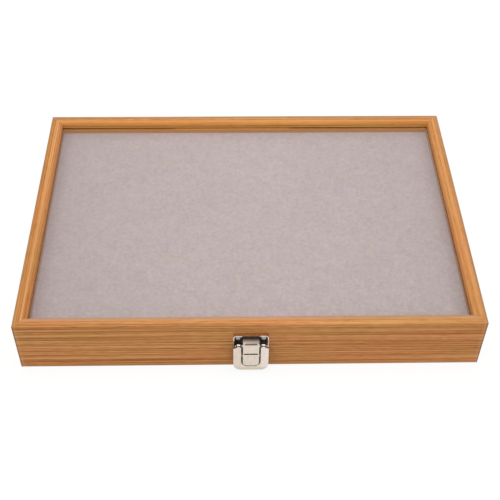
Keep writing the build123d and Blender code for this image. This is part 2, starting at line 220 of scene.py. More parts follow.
def stained_wood(name, along, offset, patches=None, boldness=1.0):
    """Straight-grained wood. along is the axis that the grain follows, and offset picks another board.

    patches takes the finish and its three axes, and gives (mask, colour) for each place that differs.
    boldness is how strongly the figure shows.
    """
    wood = Finish(name)

    def grain(scale, stretch, detail=1.0):
        """Noise drawn out along the grain, by 1 / stretch."""
        drawn = [1.0, 1.0, 1.0]
        drawn[along] = stretch
        return wood.noise(wood.place(drawn, offset), scale, detail, 0.5)

    bands = grain(110, 0.020, 2.0)
    streaks = grain(480, 0.004)
    lines = grain(840, 0.0035)
    threads = grain(1700, 0.004)
    dashes = grain(760, 0.16)
    pores = grain(1500, 0.045)
    contrast = grain(95, 0.8) * (1.5 * boldness) + 0.30 * boldness
    figure = bands * 0.08 + streaks * 0.15 + lines * 1.20 + threads * 1.15 + dashes * 0.32
    figure = (figure - 1.45) * contrast + 0.5
    colour = wood.ramp(figure, [(0.22, WOOD_DARK), (0.50, WOOD_MIDDLE), (0.78, WOOD_LIGHT)])
    cast = wood.ramp(grain(45, 0.25), [(0.35, GREEN_CAST), (0.65, RED_CAST)])
    flecks = wood.step(pores, 0.60, 0.72) * 0.40
    stained = wood.blend(1.0, colour, cast, "MULTIPLY")
    stained = wood.blend(flecks, stained, tuple(c * 0.5 for c in WOOD_DARK))
    for mask, shade in patches(wood, *wood.axes()) if patches else ():
        stained = wood.blend(mask, stained, shade)
    height = lines * 0.6 + threads * 0.4 - flecks * 0.9
    return wood.surface({
        "Base Color": stained,
        "Roughness": 0.44 + threads * 0.12,
        "Normal": wood.bump(height, 0.05 * MM, 0.5),
        "Coat Weight": 0.06,
        "Coat Roughness": 0.3,
        "Specular IOR Level": 0.16,
    })


def corner_edges(wood, lengthwise, half):
    """On the upright corners the arris itself is painted in shade, and a painted highlight runs just inside
    it.
    """
    inward = half - lengthwise.distance()
    # Painted highlight in a band just inside the corner, and painted shade on the arris itself
    highlit_band = wood.step(inward, 3.2 * MM, 2.4 * MM) * wood.step(inward, 0.8 * MM, 1.5 * MM)
    return [(highlit_band * 0.14, EDGE_HIGHLIGHT), (wood.step(inward, 1.3 * MM, 0.5 * MM) * 0.55, EDGE_SHADE)]


def wall_edges(side):
    """Patches for a base wall: painted light and shade on its corners, and a greyer foot."""
    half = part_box(f"base_wall_{side}")[1][ALONG[side]]

    def patches(wood, x, y, z):
        # The foot is painted greyer
        foot = wood.step(z, 2.6 * MM, 1.2 * MM) * 0.3
        return corner_edges(wood, (x, y)[ALONG[side]], half) + [(foot, GREYER_FOOT)]

    return patches


for number, side in enumerate(SIDES):
    offset = (number * 0.7, number * 0.31, 0.17)
    dress(
        smooth_cad(f"base_wall_{side}"),
        stained_wood(f"wall_wood_{side}", ALONG[side], offset, wall_edges(side)),
    )

# Bottom panel. A thin plywood sheet in the walls' rebate, stained to match, with a plainer,
# broader figure than the rails. Only the underside of it is ever seen.
plywood = Finish("bottom_plywood")
sheet_place = plywood.place((0.05, 1.0, 1.0))
broad = plywood.noise(sheet_place, 60, 3, 0.55, 1.2)
fine = plywood.noise(sheet_place, 900, 2, 0.6)
sheet_tone = broad * 0.8 + fine * 0.4 - 0.1
sheet_colour = plywood.ramp(sheet_tone, [(0.3, (0.33, 0.15, 0.055)), (0.7, (0.56, 0.30, 0.13))])
dress(
    smooth_cad("base_bottom"),
    plywood.surface({
        "Base Color": sheet_colour,
        "Roughness": 0.55 + fine * 0.15,
        "Normal": plywood.bump(fine, 0.06 * MM, 0.6),
    }),
)

# Wall lining. Grey short-pile velvet glued round thin card strips, one to each wall, standing on the
# bottom panel. The cloth rolls softly over the strips' top edge.
VELVET = (0.611, 0.498, 0.501)
ROSE_CAST = (1.0, 0.985, 1.0)
MOSS_CAST = (0.99, 1.0, 0.965)
LINT = (0.30, 0.20, 0.18)
LINING_RIPPLE = 0.10 * MM


def velvet(name, shading=None):
    """Short-pile cloth: a fine speckle of fibre ends, faint brush marks and a soft sheen.

    shading takes the cloth and its three axes, and gives how much painted shade darkens the colour.
    """
    cloth = Finish(name)
    place = cloth.place()
    pile = cloth.noise(place, 2600, 3, 0.75)
    tufts = cloth.noise(place, 420, 2, 0.6)
    nap = cloth.noise(place, 110, 3, 0.6, 0.6)
    cloud = cloth.noise(place, 24, 2, 0.5)
    shade = pile * 0.30 + tufts * 1.45 + nap * 0.70 + cloud * 0.24 - 1.345
    light = tuple(c * 1.16 for c in VELVET)
    dark = tuple(c * 0.84 for c in VELVET)
    colour = cloth.blend(shade + 0.5, dark, light)
    cast = cloth.ramp(cloth.noise(place, 70, 2, 0.5), [(0.38, MOSS_CAST), (0.62, ROSE_CAST)])
    colour = cloth.blend(1.0, colour, cast, "MULTIPLY")
    spots = cloth.node("ShaderNodeTexVoronoi", values={"Vector": place, "Scale": 26.0}, outlet="Distance")
    lint = cloth.step(spots, 0.030, 0.012) * cloth.step(nap, 0.52, 0.58)
    colour = cloth.blend(lint * 0.4, colour, LINT)
    if shading:
        # Painted shade darkens the cloth towards half its colour
        colour = cloth.blend(shading(cloth, *cloth.axes()), colour, tuple(c * 0.5 for c in VELVET))
    return cloth.surface({
        "Base Color": colour,
        "Roughness": 0.92,
        "Specular IOR Level": 0.1,
        "Sheen Weight": 0.18,
        "Sheen Roughness": 0.5,
        "Normal": cloth.bump(pile + nap * 0.5, 0.12 * MM, 0.7),
    })


def new_object(name, data):
    """A new object at the origin, in the scene."""
    item = bpy.data.objects.new(name, data)
    bpy.context.scene.collection.objects.link(item)
    return item


def mesh_object(name, build):
    """A new object from a function that fills a bmesh."""
    shape = bmesh.new()
    build(shape)
    mesh = bpy.data.meshes.new(name)
    shape.to_mesh(mesh)
    shape.free()
    shade_smooth(mesh)
    return new_object(name, mesh)


def lay_velvet(piece, cloth, node, body):
    """Dresses a padded piece in its cloth and puts it in the place of a CAD node."""
    dress(piece, cloth)
    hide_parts(node)
    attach(piece, body)


def lining_strip(low, high, side, seed):
    """Fills a bmesh with one wall's strip: a rounded section swept along the wall, with mitred ends."""
    lengthwise = ALONG[side]
    crosswise = 1 - lengthwise
    inward = 1 if side in ("front", "left") else -1
    wall = low[crosswise] if inward > 0 else high[crosswise]
    thick = high[crosswise] - low[crosswise]
    height = high.z - low.z
    radius = thick / 2
    steps = 90
    turn = 8
    section = [(0.0, 0.0)]
    for i in range(turn + 1):
        angle = math.pi * i / turn
        section.append((radius - radius * math.cos(angle), height - radius + radius * math.sin(angle)))
    section += [(thick, height * share / 6) for share in range(5, -1, -1)]

    def build(shape):
        rings = []
        for step in range(steps + 1):
            share = step / steps
            ring = []
            for deep, up in section:
                start = low[lengthwise] + deep
                end = high[lengthwise] - deep
                along_wall = start + (end - start) * share
                ripple = LINING_RIPPLE * noise.noise(Vector((along_wall * 60, up * 40, seed)))
                depth = deep + (ripple if deep > thick * 0.6 else 0.0)
                point = Vector((0, 0, low.z + up))
                point[lengthwise] = along_wall
                point[crosswise] = wall + inward * min(depth, thick)
                ring.append(shape.verts.new(point))
            rings.append(ring)
        for first, second in zip(rings, rings[1:]):
            for i in range(len(section)):
                j = (i + 1) % len(section)
                shape.faces.new((first[i], first[j], second[j], second[i]))
        shape.faces.new(rings[0])
        shape.faces.new(rings[-1])
        bmesh.ops.recalc_face_normals(shape, faces=shape.faces)

    return build


lining_cloth = velvet("lining_velvet")
for number, side in enumerate(SIDES):
    low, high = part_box(f"wall_liner_{side}")
    strip = mesh_object(f"velvet_lining_{side}", lining_strip(low, high, side, number * 3.7))
    lay_velvet(strip, lining_cloth, f"wall_liner_{side}", "base")


# Floor pad. The same velvet over thin foam, laid loose on the bottom panel: crowned in the middle,
# drawn down along its edges, with faint puckers where the cloth is turned under.
def pad_shape(low, high, crown, drop, edge, wave):
    """Fills a bmesh with a closed, flat-bottomed pad that fits the box from low to high.

    crown is its swell in the middle. Within edge of its border it rolls down by drop, and wave is how
    uneven the cloth is.
    """
    columns = 132
    rows = 90
    middle = (low + high) / 2
    half = (high - low) / 2
    thick = high.z - low.z

    def top_height(u, v, x, y):
        away = min(half.x - abs(x), half.y - abs(y))
        roll = 1.0 - max(0.0, 1.0 - away / edge) ** 2
        swell = (1 - u ** 4) * (1 - v ** 4)
        ripple = noise.noise(Vector((x * 38, y * 38, 2.3)))
        ripple += 0.5 * noise.noise(Vector((x * 90, y * 90, 7.1)))
        return (thick - crown - drop) + drop * roll + crown * swell + wave * ripple * roll

    def spread(index, count, reach):
        """Places grid lines closer together towards the edges."""
        t = 2 * index / count - 1
        return reach * math.sin(t * math.pi / 2) * 0.35 + reach * t * 0.65

    def build(shape):
        grid = []
        for row in range(rows + 1):
            y = spread(row, rows, half.y)
            line = []
            for column in range(columns + 1):
                x = spread(column, columns, half.x)
                height = min(top_height(x / half.x, y / half.y, x, y), thick)
                line.append(shape.verts.new((middle.x + x, middle.y + y, low.z + height)))
            grid.append(line)
        for lower, upper in zip(grid, grid[1:]):
            for i in range(columns):
                shape.faces.new((lower[i], lower[i + 1], upper[i + 1], upper[i]))
        border = grid[0] + [line[-1] for line in grid[1:]]
        border += grid[-1][-2::-1] + [line[0] for line in grid[-2:0:-1]]
        foot = [shape.verts.new((v.co.x, v.co.y, low.z)) for v in border]
        for i in range(len(border)):
            j = (i + 1) % len(border)
            shape.faces.new((border[j], border[i], foot[i], foot[j]))
        shape.faces.new(foot[::-1])
        bmesh.ops.recalc_face_normals(shape, faces=shape.faces)

    return build


low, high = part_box("floor_pad")
pad_form = pad_shape(low, high, crown=0.5 * MM, drop=1.4 * MM, edge=2.4 * MM, wave=0.08 * MM)
pad = mesh_object("velvet_floor_pad", pad_form)
lay_velvet(pad, velvet("pad_velvet"), "floor_pad", "base")

# Lid frame. Four more mitred rails of the same wood, slightly crowned on top, rounded along both top
# edges and rabbeted behind the lip for the glass and the backing.
# How far the painted shade on the outer arris reaches in, how strong it is, and its colour
OUTER_EDGE_SHADE = {
    "left": (2.7 * MM, 0.42, (0.36, 0.24, 0.12)),
    "right": (3.2 * MM, 0.42, (0.47, 0.33, 0.19)),
    "back": (5.0 * MM, 0.50, (0.41, 0.30, 0.19)),
}
# How far from the inner edge the painted light starts and is full, how much, and its colour: a painted
# highlight on the front, painted shade at the sides
INNER_EDGE_LIGHT_SHADE = {
    "front": (6.6 * MM, 3.2 * MM, 0.45, (0.77, 0.49, 0.305)),
    "left": (3.4 * MM, 1.6 * MM, 0.19, (0.25, 0.08, 0.03)),
    "right": (2.5 * MM, 0.8 * MM, 0.08, (0.25, 0.08, 0.03)),
}
# How far from the outer edge each painted highlight line lies, and how strong it is
CREST_HIGHLIGHTS = {
    "back": ((6.8 * MM, 0.50),),
    "left": ((6.0 * MM, 0.40),),
    "right": ((4.4 * MM, 0.34), (8.9 * MM, 0.25)),
}
# Painted highlights, and painted shade and shadow, on the rails' edges, crest and lip
PAINTED_HIGHLIGHT = (1.0, 0.53, 0.22)
FRONT_ARRIS_SHADE = (0.33, 0.12, 0.03)
INNER_SHADOW_LINE = (0.47, 0.21, 0.10)
BACK_CREST_HIGHLIGHT = (0.93, 0.37, 0.075)
BACK_LIP_SHADE = (0.40, 0.17, 0.04)
BACK_LIP_LIGHT = (1.0, 0.45, 0.085)
RAIL_BOLDNESS = {"front": 1.0, "back": 1.6, "left": 0.65, "right": 0.62}
# Painted light in the back rail's shaded rabbet
RABBET_LIGHT = (1.0, 0.58, 0.16)
# Painted shade inside the hook's mortise
MORTISE_SHADE = (0.28, 0.21, 0.16)


def hook_mortise(wood, x, y, z):
    """The mortise for the latch's hook, cut into the front rail: painted dark grey as shade in the keeper's
    window.
    """
    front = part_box("lid_rail_front")[0].y
    window_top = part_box("latch_keeper")[1].z
    deep = wood.step(y, front + 0.1 * MM, front + 0.5 * MM)
    deep = deep * wood.step(y, front + 4.5 * MM, front + 4.0 * MM)
    wide = wood.step(x.distance(), 8.0 * MM, 7.5 * MM)
    inside = wide * wood.step(z, window_top, window_top - 1.0 * MM)
    return [(deep * inside, MORTISE_SHADE)]


def rail_edges(side):
    """Patches for a lid rail.

    They are painted light and shade: a painted highlight and shade on its corners, painted shade on its
    outer arris, painted highlight lines on its crest, and painted light and shade on the lip and in the
    rabbet.
    """
    low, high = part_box(f"lid_rail_{side}")
    across = 1 - ALONG[side]
    outer, inner = (low, high) if side in ("front", "left") else (high, low)

    def patches(wood, x, y, z):
        def below_top(start, end):
            """Rises from 0 to 1 between two depths under the rail's top, in millimetres."""
            return wood.step(z, high.z - start * MM, high.z - end * MM)

        places = corner_edges(wood, (x, y)[ALONG[side]], high[ALONG[side]])
        from_outer = (x, y)[across].distance(outer[across])
        from_inner = (x, y)[across].distance(inner[across])
        if side in OUTER_EDGE_SHADE:
            reach, amount, colour = OUTER_EDGE_SHADE[side]
            # Painted shade on the outer arris, where the rounding turns from the light
            arris_shade = wood.step(from_outer, reach, 0.6 * MM) * below_top(1.6, 0.9)
            places.append((arris_shade * amount, colour))
        # Painted highlight lines along the crest
        for line_place, amount in CREST_HIGHLIGHTS.get(side, ()):
            line = wood.step(from_outer.distance(line_place), 1.3 * MM, 0.3 * MM) * below_top(2.0, 1.0)
            places.append((line * amount, PAINTED_HIGHLIGHT))
        # Painted highlight on the front rail's inner edge, painted shade on the side rails' inner edges
        if side in INNER_EDGE_LIGHT_SHADE:
            start, end, amount, colour = INNER_EDGE_LIGHT_SHADE[side]
            places.append((wood.step(from_inner, start, end) * amount, colour))
        if side == "front":
            # Painted shade on the front's outer arris, and a painted shadow line under its inner edge
            arris = wood.step(from_outer, 1.7 * MM, 0.7 * MM) * below_top(2.6, 1.7)
            inner_turn = wood.step(from_inner, 3.5 * MM, 2.5 * MM)
            places += [(arris * 0.22, FRONT_ARRIS_SHADE), (inner_turn * 0.55, INNER_SHADOW_LINE)]
            return places + hook_mortise(wood, x, y, z)
        # Painted light on the lower face of the lip, which lies in shade
        lip_face = wood.step(from_inner, 0.9 * MM, 0.5 * MM) * below_top(4.0, 4.7)
        if side != "back":
            return places + [(lip_face * 0.35, PAINTED_HIGHLIGHT)]
        # Painted highlight on the back crest, painted shade where the lip turns down, and painted light on
        # the lip face and in the rabbet
        crest = wood.step(from_outer, 4.5 * MM, 7.0 * MM) * below_top(3.2, 1.6)
        turning = below_top(1.3, 2.8)
        rabbet = below_top(4.0, 5.0) * wood.step(z, low.z + 0.3 * MM, low.z + 0.8 * MM)
        hidden = wood.step(from_outer, 1.0 * MM, 2.0 * MM)
        return places + [
            (crest * 0.5, BACK_CREST_HIGHLIGHT),
            (turning * 0.45, BACK_LIP_SHADE),
            (lip_face * 0.7, BACK_LIP_LIGHT),
            (rabbet * hidden * 0.9, RABBET_LIGHT),
        ]

    return patches


for number, side in enumerate(SIDES):
    offset = (0.4 + number * 0.53, 0.9 + number * 0.23, 0.4)
    dress(
        smooth_cad(f"lid_rail_{side}"),
        stained_wood(f"rail_wood_{side}", ALONG[side], offset, rail_edges(side), RAIL_BOLDNESS[side]),
    )

# Glass. One clear 2 mm pane, cut to the rabbet and dropped into it from behind. It lies against the lip,
# with the spacers under it.
pane = Finish("clear_pane")
clear = pane.node("ShaderNodeBsdfTransparent", values={"Color": (0.985, 0.992, 0.988, 1)})
gloss = pane.node("ShaderNodeBsdfGlossy", values={"Color": (1, 1, 1, 1), "Roughness": 0.02})
outside = 1 - pane.node("ShaderNodeNewGeometry", outlet="Backfacing")
edge_on = pane.node("ShaderNodeFresnel", values={"IOR": 1.45}) * outside
dress(
    smooth_cad("lid_glass"),
    pane.output(pane.node("ShaderNodeMixShader", values=[edge_on, clear, gloss])),
)

# Spacers. Thin wooden fillets, mitred and set just proud of the lip, that hold the backing off the glass.
# They are cut from plainer offcuts, each with its own depth of stain. Lint clings to the side ones.
SPACER_TONE = {
    "front": (0.50, 0.20, 0.06),
    "back": (0.70, 0.27, 0.03),
    "left": (0.33, 0.13, 0.05),
    "right": (0.30, 0.12, 0.05),
}
# Painted light on the spacers' tops, which lie in shade under the lip
SPACER_TOP_LIGHT = (1.0, 0.55, 0.15)
TOP_LIGHTENING = {"front": 0.4, "back": 0.9, "left": 0.15, "right": 0.2}
LINTY_FOOT = {"front": 0.0, "back": 0.0, "left": 0.6, "right": 0.8}
LINTY = (0.58, 0.40, 0.34)


def spacer_shades(side):
    """Patches for a spacer: its stain, painted light on its shaded top against the glass, and fibres of
    velvet on its foot.
    """
    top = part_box(f"spacer_{side}")[1].z

    def patches(wood, x, y, z):
        # Painted light on the top against the glass
        lit_top = wood.step(z, top - 0.4 * MM, top - 0.1 * MM) * TOP_LIGHTENING[side]
        linty = wood.step(z, top - 1.2 * MM, top - 2.4 * MM) * LINTY_FOOT[side]
        return [(0.4, SPACER_TONE[side]), (lit_top, SPACER_TOP_LIGHT), (linty, LINTY)]

    return patches


for number, side in enumerate(SIDES):
    offset = (1.3, 0.2 + number * 0.4, 0.8)
    dress(
        smooth_cad(f"spacer_{side}"),
        stained_wood(f"spacer_wood_{side}", ALONG[side], offset, spacer_shades(side), boldness=0.45),
    )

# Velvet facing. The show surface of the lid: the grey velvet stretched flat over thin wadding on the
# backing board, its edges held down under the spacers.
RAIL_WIDTH = 10 * MM
# Where the painted light on the facing peaks, and how far the painted shade reaches in at the ends and the
# sides
LIGHT_PEAK_OFFSET = 20 * MM
SHADED_ENDS = 13 * MM
SHADED_SIDES = 12 * MM


def frame_and_falloff_shade(cloth, x, y, z):
    """Painted shade: the cloth is painted darker towards the ends and close to the frame, for the light
    falling off from the middle and the frame's shadow.
    """
    half_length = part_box("lid_rail_back")[1].x - RAIL_WIDTH
    half_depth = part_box("lid_rail_back")[0].y
    from_middle = (x - LIGHT_PEAK_OFFSET).distance() * (1 / half_length)
    broad = from_middle * from_middle * 0.17
    at_ends = cloth.step(x.distance(), half_length - SHADED_ENDS, half_length) * 0.24
    at_sides = cloth.step(y.distance(), half_depth - SHADED_SIDES, half_depth) * 0.08
    return broad + at_ends + at_sides


low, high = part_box("panel_velvet")
facing_form = pad_shape(low, high, crown=0.06 * MM, drop=0.5 * MM, edge=2.0 * MM, wave=0.035 * MM)
facing = mesh_object("velvet_facing", facing_form)
lay_velvet(facing, velvet("facing_velvet", frame_and_falloff_shade), "panel_velvet", "lid")

# Backing board. A sheet of plain brown hardboard, cut to the rabbet. It carries the facing above and the
# lining below, and is hidden between them.
board = Finish("hardboard")
chips = board.noise(board.place(), 1500, 3, 0.7)
dress(
    smooth_cad("panel_board"),
    board.surface({
        "Base Color": board.blend(chips, (0.22, 0.13, 0.07), (0.36, 0.24, 0.14)),
        "Roughness": 0.8,
        "Normal": board.bump(chips, 0.05 * MM, 0.5),
    }),
)


# Lid lining. The same velvet glued over thin card, sprung in behind the beads. It faces down, and is seen
# when the lid is open.
def hanging_pad(low, high):
    """The pad shape, turned to face down."""
    upright = pad_shape(low, high, crown=0.05 * MM, drop=0.3 * MM, edge=2.0 * MM, wave=0.03 * MM)

    def build(shape):
        upright(shape)
        for vertex in shape.verts:
            vertex.co.z = low.z + high.z - vertex.co.z
        bmesh.ops.reverse_faces(shape, faces=shape.faces)

    return build


low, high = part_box("lid_lining")
underside = mesh_object("velvet_lid_lining", hanging_pad(low, high))
lay_velvet(underside, velvet("lid_lining_velvet"), "lid_lining", "lid")

# Retaining beads. Quarter-round strips of the same stained wood, mitred at the corners and pinned in the
# rabbet behind the backing.
for number, side in enumerate(SIDES):
    offset = (0.2, 1.7 + number * 0.3, 0.6)
    dress(
        smooth_cad(f"retaining_bead_{side}"),
        stained_wood(f"bead_wood_{side}", ALONG[side], offset),
    )

# Hinges. Two small butt hinges of bright nickel-plated steel at the back, each with two leaves folded
# round a drawn pin, and fixed with cross-headed screws.
NICKEL = (0.79, 0.69, 0.595)
# Near-black painted onto the nickel as shade and dark reflections
PAINTED_DARK = (0.055, 0.042, 0.040)
WARM_TINT = (0.97, 1.0, 0.94)
PINK_TINT = (1.0, 0.965, 0.99)
HINGE_SCREW_SPACING = 16 * MM
SCREW_HEAD_RADIUS = 1.9 * MM
SCREW_HEAD_HEIGHT = 0.8 * MM


def nickel(name, colour=NICKEL, gloss=0.16, patches=None, shine=1.0):
    """Bright plating over pressed steel, with faint polishing marks and cloudy spots.

    patches takes the finish and its three axes, and gives (mask, colour, added roughness, lost shine) for
    each patch where shade and reflections are painted on the plating.
    """
    metal = Finish(name)
    marks = metal.noise(metal.place((1.0, 1.0, 0.08)), 5200, 2, 0.6)
    brushed = metal.noise(metal.place((1.0, 1.0, 0.10)), 950, 2, 0.6)
    cloud = metal.noise(metal.place(), 320, 3, 0.6)
    tint = metal.noise(metal.place(), 110, 2, 0.5)
    tone = cloud * 0.6 + brushed * 0.5
    plating = metal.blend(metal.step(tone, 0.28, 0.82), tuple(c * 0.82 for c in colour), colour)
    tinge = metal.ramp(tint, [(0.35, WARM_TINT), (0.65, PINK_TINT)])
    plating = metal.blend(1.0, plating, tinge, "MULTIPLY")
    roughness = gloss + marks * 0.06 + cloud * 0.05 - 0.05
    for mask, shade, rougher, duller in patches(metal, *metal.axes()) if patches else ():
        plating = metal.blend(mask, plating, shade)
        roughness = roughness + mask * rougher
        shine = (1 - mask * duller) * shine if duller else shine
    return metal.surface({
        "Base Color": plating,
        "Metallic": shine,
        "Roughness": roughness,
        "Normal": metal.bump(marks + cloud * 2, 0.004 * MM, 0.5),
    })


def darkened(mask):
    """A patch of the plating painted dark, for shade and dark reflections."""
    return (mask, PAINTED_DARK, 0.2, 0.0)


def countersink_shade(metal, x, y, z):
    """A thin dark ring where each screw's head meets the leaf: the countersink's painted shadow."""
    low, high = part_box("hinge_screws_lid")
    leaf_low, leaf_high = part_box("hinge_leaf_lid_right")
    pin_low, pin_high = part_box("hinge_pin_right")
    pin_height = (pin_low.z + pin_high.z) / 2
    above_pin = (low.z + high.z) / 2 - pin_height
    from_middle = (x.distance() - (leaf_low.x + leaf_high.x) / 2).distance()
    sideways = (from_middle - HINGE_SCREW_SPACING / 2).distance()
    upwards = ((z - pin_height).distance() - above_pin).distance()
    away = metal.node("ShaderNodeMath", {"operation": "SQRT"}, [sideways * sideways + upwards * upwards])
    # Painted shadow ring round each head
    ring = metal.step(away, SCREW_HEAD_RADIUS + 0.6 * MM, SCREW_HEAD_RADIUS + 0.15 * MM)
    return [darkened(ring * 0.75)]


hinge_nickel = nickel("hinge_nickel", gloss=0.22, patches=countersink_shade)
for side in ("left", "right"):
    for part in (f"hinge_leaf_base_{side}", f"hinge_leaf_lid_{side}"):
        dress(smooth_cad(part, 0.12 * MM), hinge_nickel)
    dress(smooth_cad(f"hinge_pin_{side}", 0.15 * MM), hinge_nickel)


def screw_tree():
    """Geometry nodes that put a domed, cross-recessed wood screw on every point of a mesh."""
    tree = bpy.data.node_groups.new("wood_screws", "GeometryNodeTree")
    face = tree.interface
    face.new_socket("Points", in_out="INPUT", socket_type="NodeSocketGeometry")
    for label in ("Head Radius", "Head Height", "Shank Radius", "Shank Length"):
        face.new_socket(label, in_out="INPUT", socket_type="NodeSocketFloat")
    for label in ("Recess Size", "Turn"):
        face.new_socket(label, in_out="INPUT", socket_type="NodeSocketVector")
    face.new_socket("Seed", in_out="INPUT", socket_type="NodeSocketInt")
    face.new_socket("Metal", in_out="INPUT", socket_type="NodeSocketMaterial")
    face.new_socket("Screws", in_out="OUTPUT", socket_type="NodeSocketGeometry")
    given = tree.nodes.new("NodeGroupInput")

    def add(kind, settings=None, values=None):
        """Adds a node and gives its first output. A list is what one socket takes, link by link."""
        node = tree.nodes.new(kind)
        for key, value in (settings or {}).items():
            setattr(node, key, value)
        for key, value in (values or {}).items():
            named = [s for s in node.inputs if s.name == key and s.enabled]
            socket = named[0] if named else node.inputs[key]
            for item in value if isinstance(value, list) else [value]:
                if isinstance(item, bpy.types.NodeSocket):
                    tree.links.new(item, socket)
                else:
                    socket.default_value = item
        return next(s for s in node.outputs if s.enabled)

    def number(operation, first, second):
        return add("ShaderNodeMath", {"operation": operation}, {0: first, 1: second})

    def shifted(mesh, height):
        offset = add("ShaderNodeCombineXYZ", values={"Z": height})
        return add("GeometryNodeTransform", values={"Geometry": mesh, "Translation": offset})

    def slot(size):
        """One arm of the recess, sunk into the head's top."""
        return shifted(add("GeometryNodeMeshCube", values={"Size": size}), given.outputs["Head Height"])

    head_radius = given.outputs["Head Radius"]
    flatness = number("DIVIDE", given.outputs["Head Height"], head_radius)
    ball = add("GeometryNodeMeshUVSphere", values={"Segments": 40, "Rings": 24, "Radius": head_radius})
    flatter = add("ShaderNodeCombineXYZ", values={"X": 1.0, "Y": 1.0, "Z": flatness})
    head = add("GeometryNodeTransform", values={"Geometry": ball, "Scale": flatter})
    size = given.outputs["Recess Size"]
    quarter_turn = {"Vector": size, "Angle": math.pi / 2}
    crossways = add("ShaderNodeVectorRotate", {"rotation_type": "Z_AXIS"}, quarter_turn)
    positive = add("ShaderNodeVectorMath", {"operation": "ABSOLUTE"}, {0: crossways})
    difference = {"operation": "DIFFERENCE", "solver": "EXACT"}
    cut_head = add("GeometryNodeMeshBoolean", difference, {0: head, 1: [slot(positive), slot(size)]})
    length = given.outputs["Shank Length"]
    rod = {"Vertices": 20, "Radius": given.outputs["Shank Radius"], "Depth": length}
    shank = add("GeometryNodeMeshCylinder", {"fill_type": "NGON"}, rod)
    lowered = shifted(shank, number("MULTIPLY", length, -0.5))
    screw = add("GeometryNodeJoinGeometry", values={0: [lowered, cut_head]})
    any_quarter = {"Min": 0.0, "Max": math.pi / 2, "Seed": given.outputs["Seed"]}
    spin = add("FunctionNodeRandomValue", {"data_type": "FLOAT"}, any_quarter)
    twist = add("ShaderNodeCombineXYZ", values={"Z": spin})
    on_seats = {"Points": given.outputs["Points"], "Instance": screw, "Rotation": given.outputs["Turn"]}
    placed = add("GeometryNodeInstanceOnPoints", values=on_seats)
    turned = add("GeometryNodeRotateInstances", values={"Instances": placed, "Rotation": twist})
    real = add("GeometryNodeRealizeInstances", values={"Geometry": turned})
    finish = {"Geometry": real, "Material": given.outputs["Metal"]}
    coated = add("GeometryNodeSetMaterial", values=finish)
    end = tree.nodes.new("NodeGroupOutput")
    tree.links.new(coated, end.inputs[0])
    return tree


def soften_edges(piece):
    """Smooth shading with crisp edges, on a made mesh."""
    shade_smooth(piece.data)
    split = piece.modifiers.new("crisp edges", "EDGE_SPLIT")
    split.split_angle = math.radians(32)


screws = screw_tree()


def drive_screws(name, seats, turn, metal, seed, body, node):
    """A group of screws whose heads seat at the given points, in place of a CAD node."""
    holder = mesh_object(name + "_seats", lambda shape: [shape.verts.new(seat) for seat in seats])
    modifier = holder.modifiers.new("screws", "NODES")
    modifier.node_group = screws
    sizes = {
        "Head Radius": SCREW_HEAD_RADIUS,
        "Head Height": SCREW_HEAD_HEIGHT,
        "Shank Radius": 0.8 * MM,
        "Shank Length": 6.4 * MM,
        "Recess Size": (2.6 * MM, 0.75 * MM, 1.0 * MM),
        "Turn": turn,
        "Seed": seed,
        "Metal": metal,
    }
    for socket in screws.interface.items_tree:
        if socket.name in sizes and socket.in_out == "INPUT":
            modifier[socket.identifier] = sizes[socket.name]
    bpy.context.view_layer.update()
    evaluated = holder.evaluated_get(bpy.context.evaluated_depsgraph_get())
    mesh = bpy.data.meshes.new_from_object(evaluated)
    group = new_object(name, mesh)
    bpy.data.objects.remove(holder)
    soften_edges(group)
    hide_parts(node)
    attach(group, body)


screw_nickel = nickel("screw_nickel", (0.74, 0.70, 0.65), 0.24)
TO_BACK = (-math.pi / 2, 0, 0)
TO_FRONT = (math.pi / 2, 0, 0)
for body in ("base", "lid"):
    low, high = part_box(f"hinge_screws_{body}")
    seats = []
    for side in ("left", "right"):
        leaf_low, leaf_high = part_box(f"hinge_leaf_{body}_{side}")
        middle = (leaf_low.x + leaf_high.x) / 2
        for x in (middle - HINGE_SCREW_SPACING / 2, middle + HINGE_SCREW_SPACING / 2):
            seats.append((x, high.y - SCREW_HEAD_HEIGHT, (low.z + high.z) / 2))
    drive_screws(f"hinge_screw_heads_{body}", seats, TO_BACK, screw_nickel, 3, body, f"hinge_screws_{body}")

# Latch. A pressed, nickel-plated box catch at the front: a dished keeper on the lid, an eared base
# plate on the wall, and a lever with a hooked strap that turn on two pins.
SHEET = 0.85 * MM
STRAP_SLIT = 1.1 * MM
PIN_HEIGHT = 21.4 * MM
SLOT_RISE = 0.7 * MM
SLOT_HEIGHT = 1.3 * MM
SLOT_LENGTH = 10.4 * MM
# Painted shade, and painted reflections, for the latch's nickel
DISH_SHADE = (0.115, 0.082, 0.072)
KEEPER_LIP_DARK = (0.075, 0.066, 0.050)
TIP_SHADE = (0.54, 0.38, 0.33)
FOOT_REFLECTION_SHADE = (0.60, 0.55, 0.43)
WOOD_REFLECTION_PINK = (0.83, 0.67, 0.61)
BRIGHT_REFLECTION = (0.87, 0.80, 0.745)


def keeper_patches(metal, x, y, z):
    """Painted shade darkens the dish inside, and a painted dark reflection the lip over the strap's hook.
    """
    low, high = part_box("latch_keeper")
    sideways = x.distance()
    below_rim = metal.step(z, high.z - 0.2 * MM, high.z - 0.6 * MM)
    within_sides = metal.step(sideways, high.x - 0.3 * MM, high.x - 0.7 * MM)
    dish = metal.step(y, low.y + 0.7 * MM, low.y + 2.0 * MM)
    lip = metal.step(sideways, 7.2 * MM, 6.2 * MM) * metal.step(y, low.y + 0.5 * MM, low.y + 0.25 * MM)
    # Painted shade in the dish, and a painted dark reflection on the lip
    return [(below_rim * within_sides * dish, DISH_SHADE, 0.3, 0.0), (lip, KEEPER_LIP_DARK, 0.2, 0.0)]


